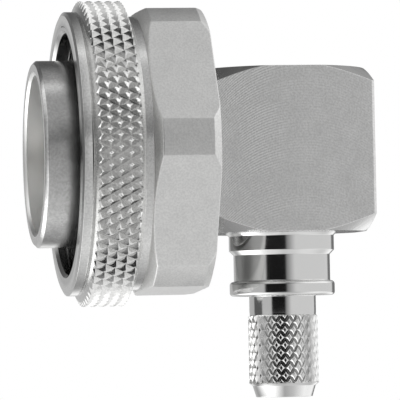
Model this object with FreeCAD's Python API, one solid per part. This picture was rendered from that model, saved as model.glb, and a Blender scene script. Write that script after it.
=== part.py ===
"""Right-angle coaxial plug with a screw coupling and a crimp neck for the cable.

Millimetres. The plug axis is X: the mating side points to -X and the square
elbow block stands at +X. The cable neck points down, to -Z. The origin is the
centre of the front rim of the outer contact tube.
"""
import FreeCAD, Part
import math
import os

V = FreeCAD.Vector

# Outer contact: tube, flange, journal for the nut and pressed spigot
tube_diameter = 21.2
tube_length = 8.6
tube_wall = 1.6
tube_bore_depth = 7.2
tube_rim_chamfer = 0.36
tube_mouth_chamfer = 0.3
line_step = 1.0
line_bore_length = 7.0
gasket_seat_height = 0.3
gasket_seat_length = 1.7
flange_thickness = 1.4
flange_margin = 0.3
flange_chamfer = 0.3
journal_step = 0.4
seal_groove_offset = 1.8
seal_groove_play = 0.2
spigot_cover = 2.3
spigot_length = 4.0
spigot_chamfer = 0.3
spigot_wall = 1.5

# Face gasket on the flange and round seal in the journal
gasket_width = 2.1
gasket_thickness = 1.5
gasket_round = 0.2
seal_section = 1.5

# Coupling nut, one piece: stations from the front, diameters from the thread
nut_setback = 3.4
nose_chamfer_length = 0.2
nose_chamfer_height = 0.4
nose_length = 1.08
nose_wall = 2.05
line_groove_width = 0.3
line_groove_depth = 0.18
front_flank_length = 0.82
nut_knurl_height = 1.25
nut_knurl_depth = 0.45
nut_knurl_teeth = 80
nut_knurl_row_length = 1.12
nut_knurl_rows = 4
nut_knurl_edge_drop = 0.15
nut_knurl_run_out_length = 0.5
nut_shoulder_drop = 1.2
nut_knurl_ledge = 0.04
back_flank_length = 0.75
nut_neck_length = 0.87
nut_neck_wall = 0.95
hex_length = 7.4
hex_chamfer_length = 0.8
hex_chamfer_height = 1.55
hex_corner_turning = 1.375
hex_back_chamfer_length = 0.87
hex_back_chamfer_height = 0.6
hex_turn_angle = 3.4
flange_clearance = 0.4
thread_length = 7.6
thread_mouth_chamfer = 0.35
thread_relief_width = 1.6
thread_relief_depth = 0.9
nut_shoulder_thickness = 4.2
nut_bore_clearance = 0.1
nut_bore_chamfer = 0.4
nut_back_gap = 0.2

# Slip ring between the nut's inner shoulder and the flange
slip_ring_thickness = 0.8
slip_ring_clearance = 0.15
slip_ring_rim_clearance = 0.2
slip_ring_gap = 0.05

# Elbow block: square bar turned about the neck axis
block_across_flats = 18.6
block_corner_turning = 0.2
block_end_chamfer_angle = 30.0
block_end_flat_margin = 0.5
chamber_diameter = 9.6
chamber_depth = 15.3

# Access cap pressed into the top of the block
cap_margin = 2.8
cap_thickness = 1.6
cap_edge_chamfer = 0.2

# Cable neck, turned in one piece with the block
neck_root_round = 0.35
neck_flange_diameter = 12.0
neck_flange_length = 2.0
neck_flange_chamfer = 0.5
neck_waist_length = 3.0
neck_collar_length = 1.65
neck_collar_round = 0.4
neck_shank_diameter = 7.6
neck_shank_length = 2.2
neck_knurl_diameter = 7.9
neck_knurl_depth = 0.3
neck_knurl_teeth = 24
neck_knurl_row_length = 0.86
neck_knurl_rows = 9
neck_knurl_run_out_length = 0.25
neck_knurl_run_out_depth = 0.05
neck_knurl_core_depth = 0.15
neck_tip_length = 1.6
neck_tip_diameter = 6.4
neck_bore_diameter = 5.8
neck_bore_length = 15.0
neck_bore_chamfer = 0.15
neck_seat_diameter = 7.4

# Centre contact and what holds it
pin_tip_setback = 1.8
pin_diameter = 7.0
pin_tip_round = 1.2
pin_waist_diameter = 5.0
pin_stem_diameter = 3.4
pin_stem_overrun = 2.0
pin_stem_chamfer = 0.3
front_insulator_thickness = 3.5
insulator_edge_chamfer = 0.3
cable_contact_diameter = 3.2
cable_contact_tenon_diameter = 2.0
cable_contact_tenon_length = 4.0
cable_contact_bore_diameter = 1.9
cable_contact_bore_depth = 7.0
cable_contact_recess = 0.5

# Every cutting tool reaches this far past the face that it opens
tool_overrun = 0.5

# Outline points closer than this are one point
same_point = 1e-7

# Diameters across the block and of what is pressed into it
block_corner_diameter = block_across_flats * math.sqrt(2) - 2 * block_corner_turning
block_end_flat_diameter = block_across_flats + 2 * block_end_flat_margin
cap_diameter = block_across_flats - 2 * cap_margin
spigot_diameter = block_across_flats - 2 * spigot_cover
stem_insulator_diameter = spigot_diameter - 2 * spigot_wall

# Diameters of the outer contact and the nut, from the tube inwards and outwards
tube_bore_diameter = tube_diameter - 2 * tube_wall
line_bore_diameter = tube_bore_diameter - 2 * line_step
gasket_seat_diameter = tube_diameter + 2 * gasket_seat_height
gasket_diameter = gasket_seat_diameter + 2 * gasket_width
flange_diameter = gasket_diameter + 2 * flange_margin
journal_diameter = tube_diameter + 2 * journal_step
seal_groove_diameter = journal_diameter - 2 * seal_section
nut_bore_diameter = journal_diameter + 2 * nut_bore_clearance
thread_minor_diameter = flange_diameter + 2 * flange_clearance
thread_mouth_diameter = thread_minor_diameter + 2 * thread_mouth_chamfer
thread_relief_diameter = thread_minor_diameter + 2 * thread_relief_depth
nose_diameter = thread_mouth_diameter + 2 * nose_wall
nut_knurl_diameter = nose_diameter + 2 * nut_knurl_height
nut_shoulder_diameter = nut_knurl_diameter - 2 * nut_shoulder_drop
nut_neck_diameter = thread_relief_diameter + 2 * nut_neck_wall
hex_bar_diameter = nut_neck_diameter + 2 * hex_chamfer_height
hex_across_flats = hex_bar_diameter - 2 * hex_corner_turning

# Stations along the plug axis
flange_face_x = tube_length
flange_back_x = flange_face_x + flange_thickness
gasket_seat_x = flange_face_x - gasket_seat_length
seal_groove_x = flange_back_x + seal_groove_offset
line_bore_end_x = tube_bore_depth + line_bore_length
front_insulator_x = line_bore_end_x - front_insulator_thickness
line_groove_x = nut_setback + nose_length
nut_knurl_x = line_groove_x + front_flank_length
nut_knurl_end_x = nut_knurl_x + nut_knurl_row_length * nut_knurl_rows
nut_neck_x = nut_knurl_end_x + back_flank_length
hex_front_x = nut_neck_x + nut_neck_length
hex_back_x = hex_front_x + hex_length
nut_cavity_end_x = hex_back_x - nut_shoulder_thickness
block_left_x = hex_back_x + nut_back_gap
block_half = block_across_flats / 2
neck_axis_x = block_left_x + block_half
spigot_end_x = block_left_x + spigot_length

# Stations down the neck axis
cap_seat_z = block_half - cap_thickness
chamber_bottom_z = cap_seat_z - chamber_depth
neck_top_z = -block_half
flange_bottom_z = neck_top_z - neck_flange_length
waist_diameter = neck_flange_diameter - 2 * neck_flange_chamfer
waist_top_z = flange_bottom_z - neck_flange_chamfer
collar_top_z = waist_top_z - neck_waist_length
collar_bottom_z = collar_top_z - neck_collar_length
neck_knurl_z = collar_bottom_z - neck_shank_length
neck_knurl_end_z = neck_knurl_z - neck_knurl_row_length * neck_knurl_rows
neck_end_z = neck_knurl_end_z - neck_tip_length
neck_bore_top_z = neck_end_z + neck_bore_length


def corner_arc(before, corner, after, radius):
    """Tangent points and middle of the arc that rounds one outline corner."""
    to_before = (before - corner).normalize()
    to_after = (after - corner).normalize()
    half_angle = to_before.getAngle(to_after) / 2
    reach = radius / math.tan(half_angle)
    start = corner + to_before * reach
    end = corner + to_after * reach
    bisector = (to_before + to_after).normalize()
    centre = corner + bisector * (radius / math.sin(half_angle))
    return start, centre - bisector * radius, end


def outline_face(corners, radii):
    """Flat face inside straight edges, with the given rounding at each corner."""
    edges = []
    count = len(corners)
    joints = []
    for i in range(count):
        if radii[i]:
            joints.append(corner_arc(corners[i - 1], corners[i], corners[(i + 1) % count], radii[i]))
        else:
            joints.append((corners[i], None, corners[i]))
    for i in range(count):
        start, middle, end = joints[i]
        if middle is not None:
            edges.append(Part.Arc(start, middle, end).toShape())
        following = joints[(i + 1) % count][0]
        if end.distanceToPoint(following) > same_point:
            edges.append(Part.makeLine(end, following))
    return Part.Face(Part.Wire(edges))


def turned_x(stations):
    """Solid turned about the plug axis from (x, diameter, corner rounding)."""
    corners = [V(x, 0, diameter / 2) for x, diameter, radius in stations]
    face = outline_face(corners, [radius for x, diameter, radius in stations])
    return face.revolve(V(0, 0, 0), V(1, 0, 0), 360)


def turned_z(stations):
    """Solid turned about the neck axis from (z, diameter, corner rounding)."""
    corners = [V(neck_axis_x + diameter / 2, 0, z) for z, diameter, radius in stations]
    face = outline_face(corners, [radius for z, diameter, radius in stations])
    return face.revolve(V(neck_axis_x, 0, 0), V(0, 0, 1), 360)


def cylinder_x(start, end, diameter):
    return Part.makeCylinder(diameter / 2, end - start, V(start, 0, 0), V(1, 0, 0))


def cylinder_z(bottom, top, diameter):
    return Part.makeCylinder(diameter / 2, top - bottom, V(neck_axis_x, 0, bottom), V(0, 0, 1))


def knurled_core(teeth, row, rows, root, crest, edge, run_out, run_out_radius):
    """Diamond knurl about the local X axis, closed by flat polygon ends.

    Crossings of the two groove families lie at the root radius and the points
    of the diamonds at the crest radius. The outer rows run out to a plain
    polygon at each end.
    """
    columns = 2 * teeth
    step = math.pi / teeth
    radius_rows = [(-run_out, [run_out_radius] * columns)]
    for k in range(rows + 1):
        point = edge if k in (0, rows) else crest
        radius_rows.append((k * row, [root if (j + k) % 2 == 0 else point for j in range(columns)]))
    radius_rows.append((rows * row + run_out, [run_out_radius] * columns))
    grid = []
    for x, radii in radius_rows:
        ring = [V(x, r * math.cos(j * step), r * math.sin(j * step)) for j, r in enumerate(radii)]
        grid.append(ring)
    faces = []
    for k in range(len(grid) - 1):
        for j in range(columns):
            following = (j + 1) % columns
            a, b = grid[k][j], grid[k][following]
            c, d = grid[k + 1][following], grid[k + 1][j]
            # The groove runs along the diagonal that joins two crossings.
            if (j + k - 1) % 2 == 0:
                triangles = ((a, b, c), (a, c, d))
            else:
                triangles = ((a, b, d), (b, c, d))
            for corners in triangles:
                faces.append(Part.Face(Part.makePolygon(list(corners) + [corners[0]])))
    for ring in (grid[0], grid[-1]):
        faces.append(Part.Face(Part.makePolygon(ring + [ring[0]])))
    shell = Part.makeShell(faces)
    shell.sewShape()
    solid = Part.makeSolid(shell)
    if solid.Volume < 0:
        solid.reverse()
    return solid


def square_block():
    """Bar with turned corners, faced and chamfered about the neck axis."""
    reach = block_corner_diameter / 2
    drop = (reach - block_end_flat_diameter / 2) * math.tan(math.radians(block_end_chamfer_angle))
    turned = turned_z([
        (-block_half, 0, 0),
        (-block_half, block_end_flat_diameter, 0),
        (-block_half + drop, block_corner_diameter, 0),
        (block_half - drop, block_corner_diameter, 0),
        (block_half, block_end_flat_diameter, 0),
        (block_half, 0, 0),
    ])
    corner = V(block_left_x, -block_half, -block_half)
    bar = Part.makeBox(block_across_flats, block_across_flats, block_across_flats, corner)
    return bar.common(turned)


def neck_blank():
    """Flange, waist, collar and shank below the block, down to the plain tip."""
    inside = chamber_bottom_z
    core = neck_knurl_diameter - 2 * (neck_knurl_depth + neck_knurl_core_depth)
    return turned_z([
        (inside, 0, 0),
        (inside, waist_diameter, 0),
        (neck_top_z, neck_flange_diameter + 2 * neck_root_round, 0),
        (neck_top_z - neck_root_round, neck_flange_diameter, 0),
        (flange_bottom_z, neck_flange_diameter, 0),
        (waist_top_z, waist_diameter, 0),
        (collar_top_z, waist_diameter, 0),
        (collar_top_z, neck_flange_diameter, neck_collar_round),
        (collar_bottom_z, neck_flange_diameter, neck_collar_round),
        (collar_bottom_z, neck_shank_diameter, 0),
        (neck_knurl_z, neck_shank_diameter, 0),
        (neck_knurl_z, core, 0),
        (neck_knurl_end_z, core, 0),
        (neck_end_z, neck_tip_diameter, 0),
        (neck_end_z, 0, 0),
    ])


def elbow_block():
    """Square bar with the cable neck on it, bored for the contacts."""
    root = neck_knurl_diameter / 2 - neck_knurl_depth
    crest = neck_knurl_diameter / 2
    knurl = knurled_core(neck_knurl_teeth, neck_knurl_row_length, neck_knurl_rows, root, crest, crest,
                         neck_knurl_run_out_length, root - neck_knurl_run_out_depth)
    knurl.rotate(V(0, 0, 0), V(0, 1, 0), 90)
    knurl.translate(V(neck_axis_x, 0, neck_knurl_z))
    body = square_block().fuse(neck_blank()).fuse(knurl)
    side_bore = cylinder_x(block_left_x - tool_overrun, spigot_end_x, spigot_diameter)
    stem_way = cylinder_x(block_left_x, neck_axis_x, chamber_diameter)
    inside = turned_z([
        (block_half + tool_overrun, 0, 0),
        (block_half + tool_overrun, cap_diameter, 0),
        (cap_seat_z, cap_diameter, 0),
        (cap_seat_z, chamber_diameter, 0),
        (chamber_bottom_z, chamber_diameter, 0),
        (chamber_bottom_z, neck_seat_diameter, 0),
        (neck_bore_top_z, neck_seat_diameter, 0),
        (neck_bore_top_z, neck_bore_diameter, 0),
        (neck_end_z + neck_bore_chamfer, neck_bore_diameter, 0),
        (neck_end_z, neck_bore_diameter + 2 * neck_bore_chamfer, 0),
        (neck_end_z - tool_overrun, neck_bore_diameter + 2 * neck_bore_chamfer, 0),
        (neck_end_z - tool_overrun, 0, 0),
    ])
    return body.cut(side_bore).cut(stem_way).cut(inside).removeSplitter()


def access_cap():
    return turned_z([
        (cap_seat_z, 0, 0),
        (cap_seat_z, cap_diameter - 2 * cap_edge_chamfer, 0),
        (cap_seat_z + cap_edge_chamfer, cap_diameter, 0),
        (block_half - cap_edge_chamfer, cap_diameter, 0),
        (block_half, cap_diameter - 2 * cap_edge_chamfer, 0),
        (block_half, 0, 0),
    ])


def outer_contact():
    """One turned piece from the mating rim to the spigot in the block."""
    groove_end = seal_groove_x + seal_section + seal_groove_play
    return turned_x([
        (tube_mouth_chamfer, tube_bore_diameter, 0),
        (0, tube_bore_diameter + 2 * tube_mouth_chamfer, 0),
        (0, tube_diameter - 2 * tube_rim_chamfer, 0),
        (tube_rim_chamfer, tube_diameter, 0),
        (gasket_seat_x, tube_diameter, 0),
        (gasket_seat_x, gasket_seat_diameter, 0),
        (flange_face_x, gasket_seat_diameter, 0),
        (flange_face_x, flange_diameter - 2 * flange_chamfer, 0),
        (flange_face_x + flange_chamfer, flange_diameter, 0),
        (flange_back_x, flange_diameter, 0),
        (flange_back_x, journal_diameter, 0),
        (seal_groove_x, journal_diameter, 0),
        (seal_groove_x, seal_groove_diameter, 0),
        (groove_end, seal_groove_diameter, 0),
        (groove_end, journal_diameter, 0),
        (block_left_x, journal_diameter, 0),
        (block_left_x, spigot_diameter, 0),
        (spigot_end_x - spigot_chamfer, spigot_diameter, 0),
        (spigot_end_x, spigot_diameter - 2 * spigot_chamfer, 0),
        (spigot_end_x, stem_insulator_diameter, 0),
        (line_bore_end_x, stem_insulator_diameter, 0),
        (line_bore_end_x, line_bore_diameter, 0),
        (tube_bore_depth, line_bore_diameter, 0),
        (tube_bore_depth, tube_bore_diameter, 0),
    ])


def face_gasket():
    front = flange_face_x - gasket_thickness
    return turned_x([
        (front, gasket_seat_diameter, gasket_round),
        (front, gasket_diameter, gasket_round),
        (flange_face_x, gasket_diameter, 0),
        (flange_face_x, gasket_seat_diameter, 0),
    ])


def journal_seal():
    """Round section seal, pressed flush with the journal."""
    groove_middle = seal_groove_x + (seal_section + seal_groove_play) / 2
    centre = V(groove_middle, 0, (journal_diameter - seal_section) / 2)
    circle = Part.Wire(Part.Circle(centre, V(0, 1, 0), seal_section / 2).toShape())
    return Part.Face(circle).revolve(V(0, 0, 0), V(1, 0, 0), 360)


def hexagon():
    """Hexagonal bar with its corners turned and both ends chamfered."""
    length = hex_back_x - hex_front_x
    corner_radius = hex_across_flats / 2 / math.cos(math.pi / 6)
    points = []
    for k in range(6):
        angle = math.radians(180 - hex_turn_angle + 60 * k)
        points.append(V(hex_front_x, corner_radius * math.cos(angle), corner_radius * math.sin(angle)))
    prism = Part.Face(Part.makePolygon(points + [points[0]])).extrude(V(length, 0, 0))
    turned = turned_x([
        (hex_front_x, 0, 0),
        (hex_front_x, nut_neck_diameter, 0),
        (hex_front_x + hex_chamfer_length, hex_bar_diameter, 0),
        (hex_back_x - hex_back_chamfer_length, hex_bar_diameter, 0),
        (hex_back_x, hex_bar_diameter - 2 * hex_back_chamfer_height, 0),
        (hex_back_x, 0, 0),
    ])
    return prism.common(turned)


def nut_blank():
    """Nose, line groove and flanks of the nut, in front of the hexagon."""
    groove_bottom = nose_diameter - 2 * line_groove_depth
    groove_end = line_groove_x + line_groove_width
    return turned_x([
        (nut_setback, 0, 0),
        (nut_setback, nose_diameter - 2 * nose_chamfer_height, 0),
        (nut_setback + nose_chamfer_length, nose_diameter, 0),
        (line_groove_x, nose_diameter, 0),
        (line_groove_x + line_groove_width / 2, groove_bottom, 0),
        (groove_end, nose_diameter, 0),
        (nut_knurl_x - nut_knurl_run_out_length, nut_shoulder_diameter, 0),
        (nut_knurl_end_x + nut_knurl_run_out_length, nut_shoulder_diameter, 0),
        (nut_neck_x, nut_neck_diameter, 0),
        (hex_front_x + tool_overrun, nut_neck_diameter, 0),
        (hex_front_x + tool_overrun, 0, 0),
    ])


def coupling_nut():
    """Nose, knurl and hexagon in one piece, bored for the thread and the journal."""
    knurl = knurled_core(nut_knurl_teeth, nut_knurl_row_length, nut_knurl_rows,
                         nut_knurl_diameter / 2 - nut_knurl_depth, nut_knurl_diameter / 2,
                         nut_knurl_diameter / 2 - nut_knurl_edge_drop, nut_knurl_run_out_length,
                         nut_shoulder_diameter / 2 + nut_knurl_ledge)
    knurl.translate(V(nut_knurl_x, 0, 0))
    relief_x = nut_setback + thread_length
    relief_end = relief_x + thread_relief_width
    inside = turned_x([
        (nut_setback - tool_overrun, 0, 0),
        (nut_setback - tool_overrun, thread_mouth_diameter, 0),
        (nut_setback, thread_mouth_diameter, 0),
        (nut_setback + thread_mouth_chamfer, thread_minor_diameter, 0),
        (relief_x - thread_relief_depth, thread_minor_diameter, 0),
        (relief_x, thread_relief_diameter, 0),
        (relief_end, thread_relief_diameter, 0),
        (relief_end, thread_minor_diameter, 0),
        (nut_cavity_end_x, thread_minor_diameter, 0),
        (nut_cavity_end_x, nut_bore_diameter, 0),
        (hex_back_x - nut_bore_chamfer, nut_bore_diameter, 0),
        (hex_back_x, nut_bore_diameter + 2 * nut_bore_chamfer, 0),
        (hex_back_x + tool_overrun, nut_bore_diameter + 2 * nut_bore_chamfer, 0),
        (hex_back_x + tool_overrun, 0, 0),
    ])
    return nut_blank().fuse(hexagon()).fuse(knurl).cut(inside).removeSplitter()


def slip_ring():
    end = nut_cavity_end_x - slip_ring_gap
    inner = journal_diameter + 2 * slip_ring_clearance
    outer = thread_minor_diameter - 2 * slip_ring_rim_clearance
    return cylinder_x(end - slip_ring_thickness, end, outer).cut(
        cylinder_x(end - slip_ring_thickness - tool_overrun, end + tool_overrun, inner))


def centre_pin():
    """Pin with a waist in the front insulator and a stem to the elbow."""
    stem_end = neck_axis_x + pin_stem_overrun
    pin = turned_x([
        (pin_tip_setback, 0, 0),
        (pin_tip_setback, pin_diameter, pin_tip_round),
        (front_insulator_x, pin_diameter, 0),
        (front_insulator_x, pin_waist_diameter, 0),
        (line_bore_end_x, pin_waist_diameter, 0),
        (line_bore_end_x, pin_stem_diameter, 0),
        (stem_end - pin_stem_chamfer, pin_stem_diameter, 0),
        (stem_end, pin_stem_diameter - 2 * pin_stem_chamfer, 0),
        (stem_end, 0, 0),
    ])
    return pin.cut(cylinder_z(-pin_stem_diameter, pin_stem_diameter, cable_contact_tenon_diameter))


def front_insulator():
    return turned_x([
        (front_insulator_x, pin_waist_diameter, 0),
        (front_insulator_x, line_bore_diameter - 2 * insulator_edge_chamfer, 0),
        (front_insulator_x + insulator_edge_chamfer, line_bore_diameter, 0),
        (line_bore_end_x, line_bore_diameter, 0),
        (line_bore_end_x, pin_waist_diameter, 0),
    ])


def stem_insulator():
    return cylinder_x(line_bore_end_x, spigot_end_x, stem_insulator_diameter).cut(
        cylinder_x(line_bore_end_x - tool_overrun, spigot_end_x + tool_overrun, pin_stem_diameter))


def cable_contact():
    """Upright contact: tenon through the stem, cup for the cable conductor."""
    shoulder = -pin_stem_diameter / 2
    end = neck_bore_top_z + cable_contact_recess
    body = cylinder_z(end, shoulder, cable_contact_diameter)
    tenon = cylinder_z(shoulder, shoulder + cable_contact_tenon_length, cable_contact_tenon_diameter)
    cup = cylinder_z(end - tool_overrun, end + cable_contact_bore_depth, cable_contact_bore_diameter)
    return body.fuse(tenon).cut(cup).removeSplitter()


def neck_insulator():
    return cylinder_z(neck_bore_top_z, chamber_bottom_z, neck_seat_diameter).cut(
        cylinder_z(neck_bore_top_z - tool_overrun, chamber_bottom_z + tool_overrun, cable_contact_diameter))


PARTS = {
    "elbow_block": elbow_block,
    "access_cap": access_cap,
    "outer_contact": outer_contact,
    "face_gasket": face_gasket,
    "journal_seal": journal_seal,
    "coupling_nut": coupling_nut,
    "slip_ring": slip_ring,
    "centre_pin": centre_pin,
    "front_insulator": front_insulator,
    "stem_insulator": stem_insulator,
    "cable_contact": cable_contact,
    "neck_insulator": neck_insulator,
}

os.makedirs("parts", exist_ok=True)
for name, make in PARTS.items():
    shape = make()
    if len(shape.Solids) != 1 or not shape.isValid():
        raise ValueError(name + " is not one valid solid")
    shape.Solids[0].exportStep("parts/" + name + ".step")
    box = shape.BoundBox
    print(name, len(shape.Faces), "faces", round(shape.Volume, 1), "mm3",
          [round(v, 2) for v in (box.XMin, box.XMax, box.YMin, box.YMax, box.ZMin, box.ZMax)])
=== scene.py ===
import math

import bmesh
import bpy
from mathutils import Matrix, Vector


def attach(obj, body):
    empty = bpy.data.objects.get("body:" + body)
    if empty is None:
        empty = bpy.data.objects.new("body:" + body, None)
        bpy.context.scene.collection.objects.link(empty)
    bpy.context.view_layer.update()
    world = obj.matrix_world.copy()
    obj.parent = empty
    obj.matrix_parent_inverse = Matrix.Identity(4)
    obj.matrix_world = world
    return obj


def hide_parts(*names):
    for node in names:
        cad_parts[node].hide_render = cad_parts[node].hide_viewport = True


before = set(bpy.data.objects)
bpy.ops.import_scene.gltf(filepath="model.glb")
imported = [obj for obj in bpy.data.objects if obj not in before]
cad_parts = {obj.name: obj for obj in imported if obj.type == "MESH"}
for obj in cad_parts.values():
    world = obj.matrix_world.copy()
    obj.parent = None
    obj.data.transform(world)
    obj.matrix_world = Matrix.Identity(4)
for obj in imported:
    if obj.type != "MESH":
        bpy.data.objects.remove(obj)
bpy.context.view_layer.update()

# Outer contact. The polished tube that enters the jack, turned from brass in one
# piece with its flange, the journal that the nut turns on and the spigot that is
# pressed into the elbow block. Bright white bronze plate all over.
MM = 0.001
SHARP_ANGLE = math.radians(9.0)
FINE_COLUMNS = 240
SMALL_ROUND = 0.3
SMALL_ROUND_STEPS = 3
LARGE_ROUND_STEPS = 14


class Wire:
    """A socket of a node tree. Sums and products of wires add the Math nodes."""

    def __init__(self, tree, socket=None):
        self.tree = tree
        self.socket = socket

    def pick(self, sockets, name):
        if isinstance(name, int):
            return sockets[name]
        return next(s for s in sockets if s.name == name and s.enabled)

    def node(self, kind, settings=None, inputs=None, output=0):
        """Adds a node: its settings first, then the values or wires of its sockets."""
        made = self.tree.nodes.new(kind)
        for name, value in (settings or {}).items():
            if name == "stops":
                ramp = made.color_ramp
                while len(ramp.elements) < len(value):
                    ramp.elements.new(1.0)
                for element, (position, grey) in zip(ramp.elements, value):
                    element.position = position
                    element.color = (grey, grey, grey, 1.0)
            else:
                setattr(made, name, value)
        for name, value in (inputs or {}).items():
            socket = self.pick(made.inputs, name)
            if isinstance(value, Wire):
                self.tree.links.new(value.socket, socket)
            else:
                socket.default_value = value
        return Wire(self.tree, self.pick(made.outputs, output))

    def other(self, name):
        """Another output of the node that this wire leaves."""
        return Wire(self.tree, self.pick(self.socket.node.outputs, name))

    def math(self, operation, *others):
        return self.node("ShaderNodeMath", {"operation": operation}, dict(enumerate((self,) + others)))

    def __add__(self, other):
        return self.math("ADD", other)

    def __sub__(self, other):
        return self.math("SUBTRACT", other)

    def __mul__(self, other):
        return self.math("MULTIPLY", other)

    def __truediv__(self, other):
        return self.math("DIVIDE", other)

    def __rsub__(self, other):
        return self * -1.0 + other

    __radd__ = __add__
    __rmul__ = __mul__

    def rise(self, start, end):
        """Smooth step from 0 at start to 1 at end."""
        limits = {"Value": self, "From Min": start, "From Max": end}
        return self.node("ShaderNodeMapRange", {"interpolation_type": "SMOOTHSTEP"}, limits)

    def mix(self, low, high):
        """Colour or number between low and high, this wire being the share of high."""
        kind = "RGBA" if isinstance(low, tuple) or isinstance(high, tuple) else "FLOAT"
        inputs = {"Factor": self, "A": low, "B": high}
        return self.node("ShaderNodeMix", {"data_type": kind}, inputs, "Result")


def open_material(name):
    """New material, and the place on the object in millimetres as a wire."""
    material = bpy.data.materials.new(name)
    material.use_nodes = True
    material.node_tree.nodes.clear()
    place = Wire(material.node_tree).node("ShaderNodeTexCoord", output="Object")
    scaled = place.node("ShaderNodeVectorMath", {"operation": "SCALE"}, {0: place, "Scale": 1 / MM})
    return material, scaled


def close_material(place, relief=None, **sockets):
    """Principled shader with the given sockets and a relief height in millimetres."""
    inputs = {name.replace("_", " "): value for name, value in sockets.items()}
    if relief is not None:
        inputs["Normal"] = place.node("ShaderNodeBump", None, {"Distance": MM, "Height": relief})
    shader = place.node("ShaderNodeBsdfPrincipled", None, inputs)
    output = place.tree.nodes.new("ShaderNodeOutputMaterial")
    place.tree.links.new(shader.socket, output.inputs["Surface"])


def split(vector):
    parts = vector.node("ShaderNodeSeparateXYZ", None, {0: vector})
    return parts, parts.other("Y"), parts.other("Z")


def noise(place, scale, detail=2.0):
    """Noise from 0 to 1, with this many cells in a millimetre."""
    return place.node("ShaderNodeTexNoise", None, {"Vector": place, "Scale": scale, "Detail": detail})


def around(first, second):
    """Distance of a place from an axis, from its two other coordinates."""
    return (first * first + second * second).math("SQRT")


def tool_lines(across, pitch, height):
    """Ridges that a tool leaves, one each pitch along the wire across."""
    return (across * (2 * math.pi / pitch)).math("SINE") * height


def rounded(corners):
    """Outline in a half plane: each (station, radius, rounding) corner made an arc."""
    points = []
    for i, (station, radius, rounding) in enumerate(corners):
        here = Vector((station, radius))
        if not rounding:
            points.append(here)
            continue
        before = (Vector(corners[i - 1][:2]) - here).normalized()
        after = (Vector(corners[(i + 1) % len(corners)][:2]) - here).normalized()
        half = before.angle(after) / 2
        reach = rounding / math.tan(half)
        centre = here + (before + after).normalized() * (rounding / math.sin(half))
        start = here + before * reach - centre
        end = here + after * reach - centre
        turn = start.angle(end)
        steps = SMALL_ROUND_STEPS if rounding < SMALL_ROUND else LARGE_ROUND_STEPS
        for k in range(steps + 1):
            share = k / steps
            arm = start * math.sin((1 - share) * turn) + end * math.sin(share * turn)
            points.append(centre + arm / math.sin(turn))
    return points


def mesh_piece(name, places, faces):
    """Object at the origin from places in millimetres, faces outwards, edges sharp."""
    mesh = bpy.data.meshes.new(name)
    mesh.from_pydata([tuple(c * MM for c in place) for place in places], [], faces)
    work = bmesh.new()
    work.from_mesh(mesh)
    bmesh.ops.recalc_face_normals(work, faces=work.faces)
    work.to_mesh(mesh)
    work.free()
    piece = bpy.data.objects.new(name, mesh)
    bpy.context.scene.collection.objects.link(piece)
    finish_shading(piece)
    return piece


def evaluated_mesh(piece):
    """The piece with its modifiers worked out, as a plain mesh."""
    graph = bpy.context.evaluated_depsgraph_get()
    found = bpy.data.meshes.new_from_object(piece.evaluated_get(graph))
    piece.modifiers.clear()
    piece.data = found
    return piece


def finish_shading(piece):
    """Smooth rounds between sharp edges, with the flats shaded truly flat."""
    before_cut = piece.data.attributes.get("custom_normal")
    if before_cut:
        piece.data.attributes.remove(before_cut)
    piece.data.shade_smooth()
    piece.data.set_sharp_from_angle(angle=SHARP_ANGLE)
    flats = piece.modifiers.new("flats", "WEIGHTED_NORMAL")
    flats.keep_sharp = True
    evaluated_mesh(piece)


def turned(name, corners, axis="X", centre=0.0, columns=FINE_COLUMNS):
    """Piece turned about X, or about an upright axis at x = centre."""
    places = []
    rings = []
    for station, radius in rounded(corners):
        count = columns if radius else 1
        rings.append([len(places) + j % count for j in range(columns)])
        for j in range(count):
            angle = 2 * math.pi * j / columns
            side = radius * math.cos(angle)
            far = radius * math.sin(angle)
            places.append((station, side, far) if axis == "X" else (centre + side, far, station))
    faces = []
    for ring, following in zip(rings, rings[1:] + rings[:1]):
        for j in range(columns):
            k = (j + 1) % columns
            corner_list = [ring[j], ring[k], following[k], following[j]]
            unique = list(dict.fromkeys(corner_list))
            if len(unique) > 2:
                faces.append(unique)
    return mesh_piece(name, places, faces)


def dress(piece, material, body, slot, *nodes):
    """Gives a piece its material and its body, and hides the nodes it stands for. The slot is not
    used.
    """
    piece.data.materials.clear()
    piece.data.materials.append(material)
    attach(piece, body)
    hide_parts(*nodes)


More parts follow.
